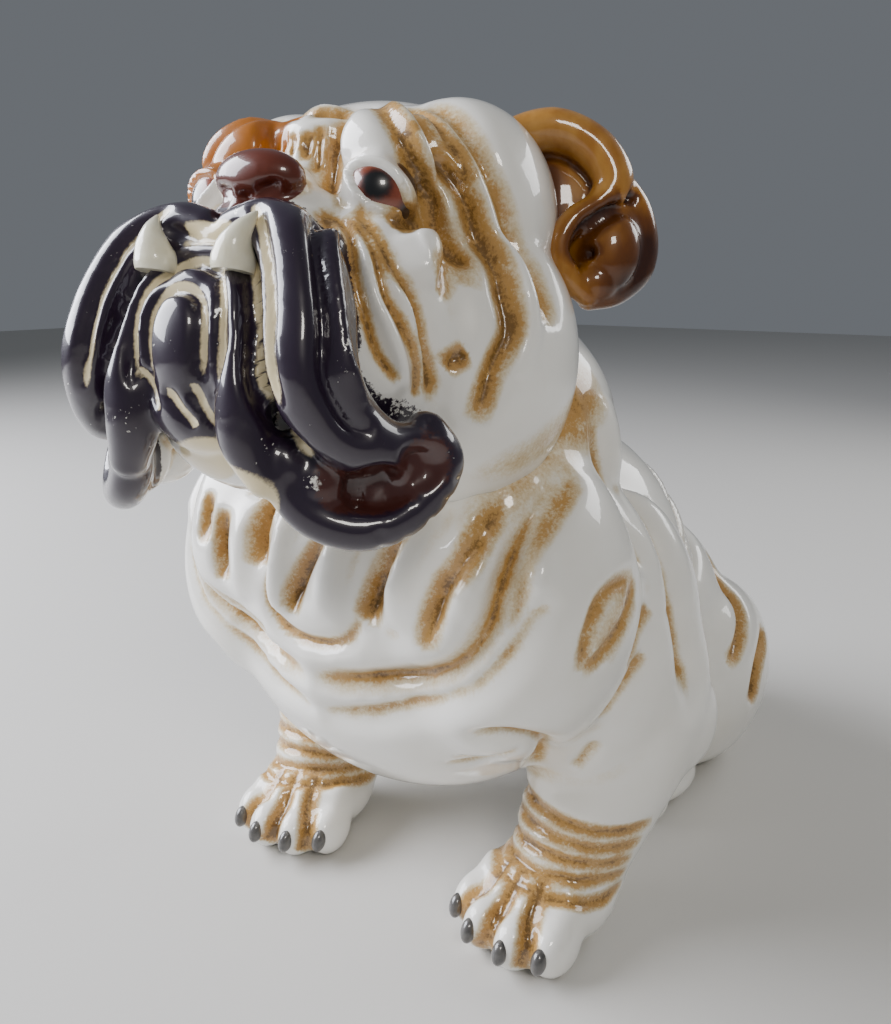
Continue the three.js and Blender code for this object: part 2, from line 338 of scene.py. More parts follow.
def pawLumps(clay, side, paw):
    own = bmesh.new()
    egg(own, (0, 2, 17), (28, 29, 20))
    egg(own, (0, 14, 24), (26, 22, 22))
    for x, y, r in torsoClay["toes"]:
        egg(own, (x, y, 11), (r, 13, 12))
        egg(own, (x * 0.9, y + 12, 18), (r, 13, 12))
    own.transform(pawPlace(side, paw))
    rough = bpy.data.meshes.new("paw")
    own.to_mesh(rough)
    own.free()
    clay.from_mesh(rough)


def wrinkleLeg(skin, side, paw):
    # rings of loose skin round the front of the wrist, each one dipping and breaking off differently
    for k, reach in enumerate(torsoClay["wristReach"]):
        z = 27 + 7 * k
        ring = []
        for i in range(13):
            a = math.radians(-reach + 2 * reach * i / 12 + 20 * math.sin(k * 2.4))
            ring.append(fromPaw(side, paw, (
                4 * side + 0.18 * side * (z - 30) + 27 * math.sin(a),
                10 + 0.5 * (z - 30) - 27 * math.cos(a),
                z + 1.1 * math.sin(2.2 * a + k * 0.7) + 3 * math.cos(a) - 3)))
        skin.stroke(ring, width=4.6, deep=3.2, tone=0.85, toneWidth=3.2, taper=0.25, sides=(left,))
    for x in torsoClay["toeGaps"]:
        gap = [(x * 1.12, -42 + abs(x) * 0.45, 3), (x, -36 + abs(x) * 0.4, 14),
               (x * 0.85, -24, 25), (x * 0.6, -11, 33)]
        gap = [fromPaw(side, paw, p) for p in gap]
        skin.stroke(gap, width=5, deep=4, tone=0.95, toneWidth=4.6, taper=0.2, sides=(left,))


clay = bmesh.new()
torsoLumps(clay)
torsoTree = skinTree(melt(clay, torsoClay["voxel"], torsoClay["smoothing"]))

clay = bmesh.new()
torsoLumps(clay)
legLumps(clay, left, torsoClay["leftPaw"])
legLumps(clay, right, torsoClay["rightPaw"])
bodyRough = melt(clay, torsoClay["voxel"], torsoClay["smoothing"])

clay = bmesh.new()
clay.from_mesh(bodyRough)
pawLumps(clay, left, torsoClay["leftPaw"])
pawLumps(clay, right, torsoClay["rightPaw"])
bodySkin = Skin(melt(clay, torsoClay["skinVoxel"], 4), torsoMiddle, torsoTree)
print("body clay", bodySkin.count, "points")

# Folds are given as azimuth and elevation about the middle of the torso, 0 straight ahead.
# The wide soft rolls come first, and the narrow creases are cut into them afterwards.
softRolls = [
    crease([(0, 5), (9, 5.5), (17, 7.5), (24, 11), (28, 16), (30, 22), (33, 29), (38, 37)], 13, 6.5, 0.3),
    crease([(0, -1), (10, 0.5), (18, 4), (26, 8.5), (31, 14), (35, 21)], 13, 4, 0.1),
    crease([(60, 54), (62, 42), (63, 30), (64, 20), (66, 10), (68, 0), (67, -8)], 15, 5),
    crease([(25, 1), (31, 1.5), (36, -2), (37, -9), (36, -17)], 9, 4),
    crease([(46, 48), (49, 38), (52, 30), (54, 24)], 10, 3),
]
for e, reach in ((58, 46), (47, 44), (36, 40), (25, 36), (14, 30)):
    softRolls.append(crease(
        [(194, e - 0.5), (177, e), (160, e - 1), (138, e - 7), (118, e - 17), (100, e - reach + 6),
         (90, e - reach)], 13, 5.5, 0.25))
for fold in softRolls:
    bodySkin.stroke(**{**fold, "deep": fold["deep"] * torsoClay["rollDepth"]}, taper=0.2)
bodySkin.apply(4)

throatFolds = [
    crease([(-23, 26), (-21.5, 19)], 6, 4, 0.8, 4),
    crease([(-19, 25), (-18, 19), (-17, 15)], 7, 5, 0.85, 4.5),
    crease([(-10, 30), (-10, 24), (-9, 19)], 8, 5, 0.85, 7),
    crease([(-6, 28), (-7, 20), (-7, 14), (-3, 11), (3, 10.5), (8, 12.5), (11, 17)], 7, 4.5, 0.15),
    crease([(-22, 13), (-14, 10), (-8, 9.5)], 7, 3, 0.5, 3),
    crease([(4, 26), (0, 20), (-2, 14)], 6, 5, 0.9, 4.5),
    crease([(17, 29), (13, 21), (11, 15)], 8, 5.5, 0.9, 5.5),
    crease([(30, 32), (25, 24), (22, 20), (20, 13)], 8, 5.5, 0.85, 5),
    crease([(40, 36), (34, 28), (31.5, 23), (30, 16)], 9, 5.5, 0.85, 5.5),
    crease([(42, 46), (36, 42), (31, 37), (25, 33)], 8, 4.5, 0.8, 6),
]
for fold in throatFolds:
    bodySkin.stroke(**{**fold, "deep": fold["deep"] * torsoClay["foldDepth"]}, taper=0.3, sides=(left,))
throatLobes = (
    [(-15, 28), (-14, 20), (-13, 13)], [(-5, 30), (-5.5, 21), (-5, 13)], [(6, 29), (5, 21), (4.5, 14)],
    [(18, 30), (16, 23), (15.5, 15)], [(27, 32), (26, 25), (25, 17)], [(36, 34), (33, 27), (34, 19)])
for lobe in throatLobes:
    bodySkin.stroke(lobe, width=11, high=5, taper=0.3, sides=(left,))

sideFolds = [
    crease([(49, 23), (43, 20.5), (40.5, 16), (39.5, 11)], 5.5, 2.8, 0.75, 3.6),
    crease([(49, 23), (47.5, 18), (44, 14), (39.5, 11)], 5.5, 2.8, 0.75, 3.6),
    crease([(55, 18), (52, 14), (50, 9)], 7, 3, 0.75, 4.5),
    crease([(54, 10), (50, 5), (46, -1)], 7, 3, 0.6, 3.5),
    crease([(47, -7), (44, -16)], 7, 2.5, 0.3),
    crease([(20, -8), (25, -7), (31, -3)], 4, 2, 0.2),
    crease([(22, -6), (27, -5), (33, -1)], 4, 2, 0.2),
    crease([(84, 42), (88, 36), (90, 31)], 7, 3, 0.6, 4),
    crease([(152, 4), (143, -4), (134, -12), (127, -19)], 8, 5, 0.9, 5),
    crease([(142, -12), (134, -19), (131, -27)], 9, 5, 0.95, 7),
    crease([(160, -14), (152, -22), (148, -30)], 8, 4, 0.6, 4),
    crease([(112, -18), (116, -28), (124, -36)], 12, 5, 0.5, 4),
]
for fold in sideFolds:
    bodySkin.stroke(**{**fold, "deep": fold["deep"] * torsoClay["foldDepth"]}, taper=0.3)
bodySkin.stroke([(48, 21), (45.5, 17), (42, 13)], tone=0.42, toneWidth=9, width=9)
jawShadowPath = [(76, 20, -18), (80, -8, -38), (66, -36, -58), (36, -62, -62)]
jawShadowPath += [(0, -66, -62)] + [onSide(p, right) for p in reversed(jawShadowPath)]
jawShadowPath = [headFrame @ (Vector(p) * mm) / mm for p in jawShadowPath]
bodySkin.daub(jawShadowPath, 12, "washAndShade", 0.75, soft=9, sides=(left,))  # painted shadow: brown wash where the head sits on the neck
bodySkin.stroke([(30, 40), (38, 42), (47, 44)], tone=0.5, toneWidth=9, width=9)
backRidges = (
    [(192, 52), (150, 50), (125, 38), (105, 18), (94, 2)],
    [(180, 41), (152, 39), (126, 26), (108, 8), (98, -8)],
    [(180, 30), (150, 28), (126, 15), (108, -4)],
    [(50, 50), (54, 40), (57, 28), (59, 16)],
)
for ridge in backRidges:
    bodySkin.stroke(ridge, width=14, high=3.5, taper=0.25)
for side, paw in ((left, torsoClay["leftPaw"]), (right, torsoClay["rightPaw"])):
    wrinkleLeg(bodySkin, side, paw)
bodySkin.apply()
bodySkin.co[:, 2] = np.maximum(bodySkin.co[:, 2], 0)  # the unglazed soles are ground flat
bodySkin.settle()
bodySkin.paint["washAndShade"] = np.maximum(bodySkin.paint["washAndShade"], 0.8 * bodySkin.creases(12, 1.4))


hindClay = {
    "foot": [(57, 68, 14), (58, 44, 14), (58, 22, 13)],
    "footRadii": [15, 16, 15],
    "toes": ((-12, 10, 8), (0, 6, 8.5), (12, 10, 8)),  # from the middle line of the foot
    "tailPath": [(0, 136, 74), (0, 150, 68), (5, 160, 57), (12, 162, 46)],
    "tailRadii": [13, 12, 10, 7],
}


def hindFootSkin(side):
    clay = bmesh.new()
    roll(clay, hindClay["foot"], hindClay["footRadii"], side, 30)
    for x, y, r in hindClay["toes"]:
        egg(clay, ((58 + x) * side, y, 10), (r, 13, 10))
    egg(clay, (60 * side, 40, 8), (19, 30, 10))
    skin = Skin(melt(clay, 1.2, 4), Vector((58 * side, 30, 12)))
    for x in (-6.5, 6.5):
        skin.stroke([((58 + x) * side, -4, 4), ((58 + x) * side, -2, 14), ((58 + x) * side, 10, 24)],
                    width=4.5, deep=3.5, tone=0.95, toneWidth=4, sides=(left,))
    for y in (26, 35, 44):
        skin.stroke([(42 * side, y + 3, 14), (58 * side, y, 32), (75 * side, y + 4, 14)],
                    width=4, deep=1.6, tone=0.7, toneWidth=2.4, sides=(left,))
    skin.apply()
    skin.co[:, 2] = np.maximum(skin.co[:, 2], 0)
    skin.settle()
    skin.paint["washAndShade"] = np.maximum(skin.paint["washAndShade"], 0.8 * skin.creases(12, 1.2))
    skin.finish()
    return skin.mesh


def tailSkin():
    clay = bmesh.new()
    roll(clay, hindClay["tailPath"], hindClay["tailRadii"], count=50)
    skin = Skin(melt(clay, 1.0, 4), Vector((4, 152, 60)))
    for z, y in ((70, 150), (60, 158), (51, 162)):
        skin.stroke([(-14, y - 8, z + 5), (3, y + 14, z), (20, y - 6, z + 3)],
                    width=5, deep=2.4, tone=0.8, toneWidth=3, sides=(left,))
    skin.apply()
    skin.paint["washAndShade"] = np.maximum(skin.paint["washAndShade"], 0.8 * skin.creases(12, 1.2))
    skin.finish()
    return skin.mesh


# The forelegs are parted from the body along the line where each leg leaves the torso.
def parted(mesh, keep):
    # the open edge is turned inward as a short wall and closed inside the clay
    piece = bmesh.new()
    piece.from_mesh(mesh)
    piece.faces.ensure_lookup_table()
    bmesh.ops.delete(piece, geom=[f for f, k in zip(piece.faces, keep) if not k], context="FACES")
    inward = piece.verts.layers.float_vector["wholeNormal"]
    edges = [e for e in piece.edges if e.is_boundary]
    wall = bmesh.ops.extrude_edge_only(piece, edges=edges)["geom"]
    for v in wall:
        if isinstance(v, bmesh.types.BMVert):
            v.co -= v[inward] * torsoClay["jointWall"] * mm
    edges = [e for e in piece.edges if e.is_boundary]
    caps = bmesh.ops.holes_fill(piece, edges=edges, sides=0)["faces"]
    bmesh.ops.triangulate(piece, faces=caps)
    made = bpy.data.meshes.new("parted")
    piece.to_mesh(made)
    piece.free()
    return made


def partLegs(skin):
    skin.finish()
    mesh = skin.mesh
    normals = mesh.attributes.new("wholeNormal", "FLOAT_VECTOR", "POINT")
    normals.data.foreach_set("vector", skin.normal.astype(np.float32).ravel())
    middles = np.empty(len(mesh.polygons) * 3)
    mesh.polygons.foreach_get("center", middles)
    middles = middles.reshape(-1, 3)
    outside = np.zeros(len(middles), dtype=bool)
    x, y, z = middles.T / mm
    for i in np.nonzero((np.abs(x) > 25) & (y < 0) & (z < 130))[0]:
        place = Vector(middles[i])
        near, normal, _, _ = torsoTree.find_nearest(place)
        outside[i] = (place - near).dot(normal) > 2.5 * mm or place.z < 40 * mm
    pieces = {}
    for word, keep in (("body", ~outside),
                       ("left", outside & (middles[:, 0] > 0)),
                       ("right", outside & (middles[:, 0] < 0))):
        made = parted(mesh, keep)
        whole = np.empty(len(made.vertices) * 3, dtype=np.float32)
        made.attributes["wholeNormal"].data.foreach_get("vector", whole)
        made.normals_split_custom_set_from_vertices(whole.reshape(-1, 3).tolist())
        made.attributes.remove(made.attributes["wholeNormal"])
        pieces[word] = made
    return pieces


bodyPieces = partLegs(bodySkin)
print("body parted", {word: len(m.polygons) for word, m in bodyPieces.items()}, "faces")


def clawMesh(side, paw):
    clay = bmesh.new()
    for x, y, r in torsoClay["toes"]:
        tip = fromPaw(side, paw, (x * 1.06, y - 11.5, 12))
        egg(clay, tip, torsoClay["claw"], (-24, 0, 0))
    mesh = bpy.data.meshes.new("claws")
    clay.to_mesh(mesh)
    clay.free()
    mesh.polygons.foreach_set("use_smooth", [True] * len(mesh.polygons))
    return mesh


# The head is modelled in its own frame.
headClay = {
    "voxel": 2.6,
    "smoothing": 5,
    "skinVoxel": 1.2,
    "flewPath": [(6, -84, 12), (17, -84, 12), (29, -86, 4), (36, -88, -10), (40, -89, -26), (45, -83, -38),
                 (53, -72, -45), (62, -60, -43)],
    "flewRadii": [7, 9, 12, 13, 13, 11.5, 9, 7],
    "lipPath": [(33, -84, -47), (31, -83, -57), (37, -79, -65), (47, -72, -68), (56, -65, -64),
                (62, -59, -55), (64, -57, -46), (60, -61, -39)],
    "lipRadius": 6.5,
    "sideFold": [(20, -94, -18), (22, -94, -32), (22, -92, -45), (27, -88, -56)],
    "eye": eyeSeat,
    "eyeRadius": 11,
    "gaze": (0.45, -0.89, 0.05),
    "eyeCorners": ((25.3, -61, 34.7), (39.5, -52, 25.4)),  # inner, outer
    "eyeOpening": (9.8, 4.9),  # half length and half height of the almond
    "tusk": [(14.6, -94.6, 1), (15.5, -95.5, 5), (17.2, -94.5, 10), (18.8, -91.8, 15)],
    "tuskRadii": [6.3, 4.9, 2.9, 0.7],
    "tuskFoot": -1.5,
    "foldWidth": 1.35,  # shares of the widths and depths written below
    "foldDepth": 1.5,
}


def skullLumps(clay):
    egg(clay, (0, -4, 26), (62, 51, 49))
    eggs(clay, (33, -8, 34), (33, 38, 39))
    eggs(clay, (43, -10, -14), (37, 42, 49))
    egg(clay, (0, -48, 8), (34, 34, 28))
    eggs(clay, (27, -48, -12), (30, 34, 40))
    egg(clay, (0, -54, -40), (38, 34, 24))
    egg(clay, (0, 20, -16), (52, 40, 50))
    egg(clay, (0, -36, 44), (24, 21, 21))


def muzzleLumps(clay):
    h = headClay
    egg(clay, (0, -83, -20), (19, 20, 26))
    eggs(clay, (14, -83, -17), (17, 18, 25))
    egg(clay, (0, -83, -36), (20, 16, 16))
    egg(clay, (0, -76, 4), (24, 17, 14))
    rolls(clay, h["sideFold"], [6, 8, 8, 6], 30)
    rolls(clay, h["flewPath"], h["flewRadii"], 70)
    eggs(clay, (48, -58, -52), (15, 15, 14))
    eggs(clay, (37, -75, -56), (8, 11, 12))
    rolls(clay, h["lipPath"], [h["lipRadius"]] * 2, 60)
    egg(clay, (0, -71, 31), (16, 9, 8.5))
    egg(clay, (0, -62, 33), (11, 11, 6))


def browLumps(clay):
    h = headClay
    r = h["eyeRadius"] + 1.6
    eggs(clay, h["eye"], (r, r, r))
    eggs(clay, (27, -44, 45), (19, 15, 14), (0, 20, 0))
    eggs(clay, (45, -50, 7), (10, 9, 14))


def openEyes(skin):
    # the skin inside the almond is pressed behind the eyeball, and a thin rim is raised round it
    h = headClay
    for side in both:
        centre, gaze = (np.array(onSide(v, side)) for v in (h["eye"], h["gaze"]))
        inner, outer = (np.array(onSide(v, side)) for v in h["eyeCorners"])
        gaze = gaze / np.linalg.norm(gaze)
        along = outer - inner
        along -= gaze * (along @ gaze)
        along /= np.linalg.norm(along)
        across = np.cross(gaze, along)
        out = skin.co / mm - centre
        far = np.linalg.norm(out, axis=1)
        a, b, ahead = out @ along, out @ across, out @ gaze
        halfLength, halfHeight = h["eyeOpening"]
        arc = (halfLength ** 2 + halfHeight ** 2) / (2 * halfHeight)
        edge = np.hypot(a, np.abs(b) + arc - halfHeight) - arc
        near = (far < 20) & (ahead > 0)
        inside = np.clip(0.5 - edge / 1.4, 0, 1) * near
        rim = np.clip(1 - np.abs(edge - 1.3) / 1.5, 0, 1) * near
        wanted = (h["eyeRadius"] - 2.2) * inside + (far + 1.0 * rim) * (1 - inside)
        skin.co = np.where(near[:, None], (centre + out / far[:, None] * wanted[:, None]) * mm, skin.co)
        skin.paint["rim"] = np.maximum(skin.paint["rim"], np.clip(0.4 - edge / 1.2, 0, 1) * near)


clay = bmesh.new()
skullLumps(clay)
skullRough = melt(clay, headClay["voxel"], headClay["smoothing"])

clay = bmesh.new()
clay.from_mesh(skullRough)
muzzleLumps(clay)
browLumps(clay)
headSkin = Skin(melt(clay, headClay["skinVoxel"], 3), headMiddle)
print("head clay", headSkin.count, "points")

# Creases on both sides of the head.
headFolds = [
    # flew against cheek, then the three long cheek folds
    crease([(19, 13), (23, 8), (26.5, -2.5), (29, -12), (30, -20), (34, -26),
            (38, -27)], 5, 3.4, 0.9, 2.8),
    crease([(19, 14), (25.5, 9.5), (29, 5), (31.5, -4), (35, -13), (38, -19),
            (42.5, -24)], 5, 3.6, 0.9, 1.7),
    crease([(25, 12), (31, 7), (35, 1), (38, -7), (42, -12), (46, -18), (48, -24),
            (48, -29)], 5, 3.6, 0.9, 1.7),
    crease([(28, 14), (35, 6), (39, -1), (45, -8), (48, -15), (51, -22), (52, -28)], 6, 3.6, 0.9, 2.6),
    # round the pad under the eye
    crease([(38, 9), (44, 14), (50, 12), (53, 5), (52, 0), (49, -5)], 5, 2.5, 0.9, 5.5),
    # from the crown down the side of the face
    crease([(29, 56), (33, 44), (41, 30), (46, 26), (51, 22), (53, 15), (57, 8), (60, 2)], 7, 4, 0.9, 4),
    crease([(34, 62), (42, 46), (50, 33), (57, 26), (62.5, 18), (67, 7), (68, -2), (69, -10), (66, -18),
            (64.5, -25), (64, -31)], 8, 4.5, 0.9, 4.5),
    crease([(44, 60), (50, 48), (54, 38), (58, 31), (60, 24)], 6, 3.5, 0.8, 4),
    crease([(52, 58), (59, 46), (64, 34), (69, 25), (76, 15), (79, 8), (80, 0), (81, -8)], 8, 4, 0.5, 5),
    crease([(54, -21), (59, -17)], 4, 2.5, 0.9, 4, taper=0.4),
    # inner edge of the brow lobe, and the frown between the brows
    crease([(24, 50), (17, 43), (15, 36), (16.5, 28), (24, 23)], 5, 3.2, 0.85, 3.6),
    crease([(9, 44), (9, 37), (10, 31)], 4, 2.6, 0.8, 2.6, taper=0.3),
    crease([(2.5, 42), (5, 34)], 4, 2.6, 0.8, 2.6, taper=0.4),
    crease([(0, 50), (10, 51), (19, 52)], 6, 3.2, 0.85, 4.4),
    crease([(0, 62), (14, 60), (26, 59)], 7, 3, 0.3),
    crease([(-6, 42), (-2, 36)], 4, 2.6, 0.8, 2.6, taper=0.4),
    crease([(39, 35), (41, 32)], 4, 1.6, 0.9, 4.5, taper=0.4),
    # chin and flew, flew down the middle
    crease([(10, -2), (13.2, -6), (16, -14), (17.6, -22), (22, -29), (28, -34)], 5, 4.5),
    crease([(10.5, 7), (14, 2.5), (17, -3), (19.5, -10.5), (20.6, -18.6), (23, -25)], 4, 2.6),
]
for fold in headFolds:
    width, deep = fold["width"] * headClay["foldWidth"], fold["deep"] * headClay["foldDepth"]
    headSkin.stroke(**{**fold, "width": width, "deep": deep})
headSkin.stroke([(44.5, 8), (46.5, 3), (46.5, -5)], width=9.5, high=5)  # the pad under the eye
cheekRidges = (
    [(22, 12), (26, 4), (29.5, -8), (32, -17), (36, -24)],
    [(28, 11), (33, 2), (36.5, -8), (41, -17), (45, -26)],
    [(33, 11), (37, 2), (42, -7), (46, -16), (49.5, -26)],
)
for ridge in cheekRidges:
    headSkin.stroke(ridge, width=4.5, high=2.6)
browRidges = (
    [(31, 58), (36, 44), (44, 33), (50, 27), (55, 19), (59, 10)],
    [(38, 64), (46, 49), (53, 38), (60, 29), (66, 18), (71, 6), (73, -6), (71, -20)],
)
for ridge in browRidges:
    headSkin.stroke(ridge, width=8, high=3.5)
# Arches on the chin pad cross the middle.
chinArches = [
    crease([(-10, -25), (-10.3, -17), (-9.4, -10.3), (-5.5, -5.5), (0, -4), (5.5, -5.5), (9.4, -10.3),
            (10.3, -17), (10, -25)], 5, 4.5, taper=0.08),
    crease([(-6, -24), (-6.3, -18), (-6, -13.6), (-3.6, -10), (0, -9), (3.6, -10), (6, -13.6), (6.3, -18),
            (6, -24)], 4.6, 4, taper=0.08),
    crease([(-10, 3), (-5, 1), (0, 0.5), (5, 1), (10, 3)], 5, 3, taper=0.1),
    crease([(-9.5, -22), (-4.5, -29)], 4.5, 3),
    crease([(-1.5, -25), (4.5, -31)], 4.5, 3),
    crease([(4, -24), (9, -33)], 4.5, 3),
]
for fold in chinArches:
    headSkin.stroke(**fold, sides=(left,))
headSkin.stroke([(0, 14), (0, 9), (0, 5)], width=5, deep=4, taper=0.3, sides=(left,))  # philtrum
headSkin.stroke([(5, -79, 25), (9, -78, 25), (12.5, -76, 28)], width=3.4, deep=2.6, taper=0.3)  # nostrils
headSkin.dent(40, -36, 11, deep=6)  # mouth pocket, front and back
headSkin.dent(47, -32, 10, deep=6)
for x in (40, 45, 50, 55):
    y = -75 + (x - 40) * 0.7
    headSkin.stroke([(x, y, -50), (x + 2, y + 1, -61)], width=3, deep=2)
lipSplits = []
for p in smoothPath(headClay["lipPath"][3:7], 7)[1:-1]:
    across = (p - Vector((48, -66, -55))).normalized() * 5
    lipSplits.append([tuple(p - across), tuple(p + across)])
for split in lipSplits:
    headSkin.stroke(split, width=2.6, deep=1.4)
headSkin.apply()
openEyes(headSkin)
headSkin.settle()
headSkin.paint["washAndShade"] = np.maximum(headSkin.paint["washAndShade"], 0.8 * headSkin.creases(10, 1.0))

# Paint laid over the modelling.
headSkin.daub(headClay["flewPath"], 15, "lip", soft=3.5)
headSkin.daub([(10, -98, -4), (12, -99, -20), (10, -98, -36)], 19, "lip")
headSkin.daub(headClay["sideFold"], 11, "lip")
# painted shadow on the head, along the line where it sits on the neck
headSkin.daub([(76, 20, -18), (80, -8, -38), (66, -36, -58), (50, -50, -60)], 6, "washAndShade", 0.5, soft=6)
headSkin.stroke([(180, 12), (150, 10), (122, 2)], width=10, deep=4, tone=0.4, toneWidth=6)
headSkin.stroke([(180, -8), (150, -10), (126, -18)], width=10, deep=4, tone=0.4, toneWidth=6)
headSkin.daub(headClay["lipPath"][:7], 9, "lip")
headSkin.daub([(0, -92, 11), (7, -93, 10)], 4, "cream", soft=1.5)
headSkin.daub([(-8, -82, -60), (6, -88, -56), (22, -88, -60)], 10, "cream", sides=(left,))
for fold in chinArches[:2] + chinArches[3:]:
    headSkin.stroke(fold["points"], tone=1, toneWidth=1.9, width=2, paint="cream", sides=(left,))
for fold, width in zip(headFolds[-2:], (2.4, 1.9)):
    headSkin.stroke(fold["points"], tone=1, toneWidth=width, width=width, paint="cream")
headSkin.daub([(42, -74, -55), (50, -68, -54), (59, -61, -47)], 10, "gum", soft=3)
for split in lipSplits:
    headSkin.stroke(split, tone=0.65, toneWidth=1, width=1.4, paint="cream")
headSkin.stroke([(38, 9), (44, 15), (51, 13), (55, 5), (53, -2)], tone=0.5, toneWidth=11, width=11)
headSkin.daub([(-6, -74, 32), (6, -74, 32)], 11, "liver", sides=(left,), soft=0.8)
headSkin.daub([(-22, -50, 50), (-34, -48, 40), (-44, -44, 34)], 17, "amber", sides=(left,))
headSkin.finish()
headSkin.mesh.transform(headFrame)


# The ears are in a frame of their own: x out from the head, y away from the face, z up.
earClay = {
    "seat": (63, 10, 39),
    "turn": 27,
    "rim": [(-24, 2, 20), (-19, 0, 29), (-6, -1, 34), (7, -1, 29), (15, -2, 17), (12, -4, 6), (4, -6, -2),
            (0, -7, -13), (3, -6, -24), (11, -3, -31)],
    "rimRadii": [5, 7.5, 8.5, 8, 7, 5.5, 5, 5, 5, 4],
    "outer": [(13, 2, 22), (23, 6, 10), (28, 8, -4), (27, 7, -17), (20, 4, -27), (12, 0, -32)],
    "outerRadii": [5, 6, 6, 6, 5.5, 4],
    "fit": (1.03, 0.95, 0.84),
    "creases": [
        crease([(-12, 0, 24), (-10, 2, 14), (-9, 3, 2), (-7, 3, -10), (-6, 2, -22)], 9, 5, 1, 9, taper=0.25),
        crease([(-10, 0, 22), (-8, 2, 12)], 7, 4, 1, 6, taper=0.4),
        crease([(17, -4, 8), (10, -7, 0), (6, -8, -9), (9, -7, -18)], 6, 4, 0.9, 6),
        crease([(20, 0, 14), (20, -1, 8)], 5, 3.5, 0.9, 4, taper=0.4),
    ],
}


def earLumps(clay):
    e = earClay
    egg(clay, (-4, 8, 3), (24, 8, 28))
    egg(clay, (15, 5, -8), (14, 9, 22))
    egg(clay, (17, -1, -12), (10, 8, 16))
    egg(clay, (13, -1, -25), (8, 7, 8))
    egg(clay, (-22, 4, 0), (8, 7, 24))
    egg(clay, (-17, -1, 3), (5, 5, 9))
    roll(clay, e["rim"], e["rimRadii"], count=60)
    roll(clay, e["outer"], e["outerRadii"])


def earSkin(side):
    clay = bmesh.new()
    earLumps(clay)
    skin = Skin(melt(clay, 0.9, 4), Vector((0, 0, 0)))
    for fold in earClay["creases"]:
        skin.stroke(**fold, sides=(left,))
    skin.daub([(24, 0, -24), (28, 4, -8)], 12, "pool", 0.75, soft=8, sides=(left,))
    skin.apply(1)
    skin.paint["pool"] = np.maximum(skin.paint["pool"], skin.creases(20, 1.6))
    skin.paint["pool"] = np.maximum(skin.paint["pool"], skin.paint.pop("washAndShade"))
    skin.finish()
    mesh = skin.mesh
    mesh.transform(Matrix.Diagonal((*earClay["fit"], 1)))
    mesh.transform(Matrix.Rotation(math.radians(earClay["turn"]), 4, "Z"))
    mesh.transform(Matrix.Translation(Vector(earClay["seat"]) * mm))
    if side == right:
        mesh.transform(Matrix.Diagonal((-1, 1, 1, 1)))
        mesh.flip_normals()
    mesh.transform(headFrame)
    return mesh


earMeshes = {side: earSkin(side) for side in both}
print("ears", len(earMeshes[left].vertices), "points each")


def eyeMesh(side):
    clay = bmesh.new()
    h = headClay
    radius = h["eyeRadius"]
    egg(clay, onSide(h["eye"], side), (radius, radius, radius), rounds=6)
    mesh = bpy.data.meshes.new("eye")
    clay.to_mesh(mesh)
    clay.free()
    gaze = Vector(onSide(h["gaze"], side)).normalized()
    layer = mesh.attributes.new("fromPupil", "FLOAT", "POINT")  # millimetres over the ball
    for v in mesh.vertices:
        out = (v.co / mm - Vector(onSide(h["eye"], side))) / radius
        layer.data[v.index].value = out.angle(gaze) * radius
    mesh.polygons.foreach_set("use_smooth", [True] * len(mesh.polygons))
    mesh.transform(headFrame)
    return mesh


def tuskMesh(side):
    clay = bmesh.new()
    roll(clay, headClay["tusk"], headClay["tuskRadii"], side, 50)
    mesh = melt(clay, 0.45, 6)
    for v in mesh.vertices:
        v.co.z = max(v.co.z, headClay["tuskFoot"] * mm)
    mesh.polygons.foreach_set("use_smooth", [True] * len(mesh.polygons))
    mesh.transform(headFrame)
    return mesh


def toLinear(hexColour):
    parts = [int(hexColour[i:i + 2], 16) / 255 for i in (1, 3, 5)]
    return tuple(v / 12.92 if v <= 0.04045 else ((v + 0.055) / 1.055) ** 2.4 for v in parts) + (1,)


def addNode(tree, kind, links=None, **settings):
    node = tree.nodes.new(kind)
    for name, value in settings.items():
        if hasattr(node, name):
            setattr(node, name, value)
    for socket, value in (links or {}).items():
        if isinstance(value, bpy.types.NodeSocket):
            tree.links.new(value, node.inputs[socket])
        else:
            node.inputs[socket].default_value = value
    return node


def newMaterial(name):
    material = bpy.data.materials.new(name)
    material.use_nodes = True
    tree = material.node_tree
    return material, tree, tree.nodes["Principled BSDF"]


# Each paint covers the one before it where its attribute, roughened by a speckle, passes a threshold.
paintLayers = [
    # attribute, colour, where it starts, where it covers, how far the speckle reaches
    # the wash steps colour the oxide in the folds and also the painted shadow under the jaw
    ("washAndShade", "#DDCDAA", 0.03, 0.25, 1.6),
    ("washAndShade", "#B98F50", 0.16, 0.5, 2.0),
    ("washAndShade", "#7A5A2C", 0.55, 0.95, 1.8),
    ("amber", "#A8641A", 0.25, 0.8, 1.0),
    ("lip", "#241829", 0.3, 0.4, 2.2),
    ("cream", "#E2D2A8", 0.3, 0.6, 0.8),
    ("liver", "#5A2413", 0.3, 0.5, 0.3),
    ("gum", "#45211C", 0.3, 0.6, 1.6),
    ("rim", "#241A18", 0.4, 0.8, 0.2),
]


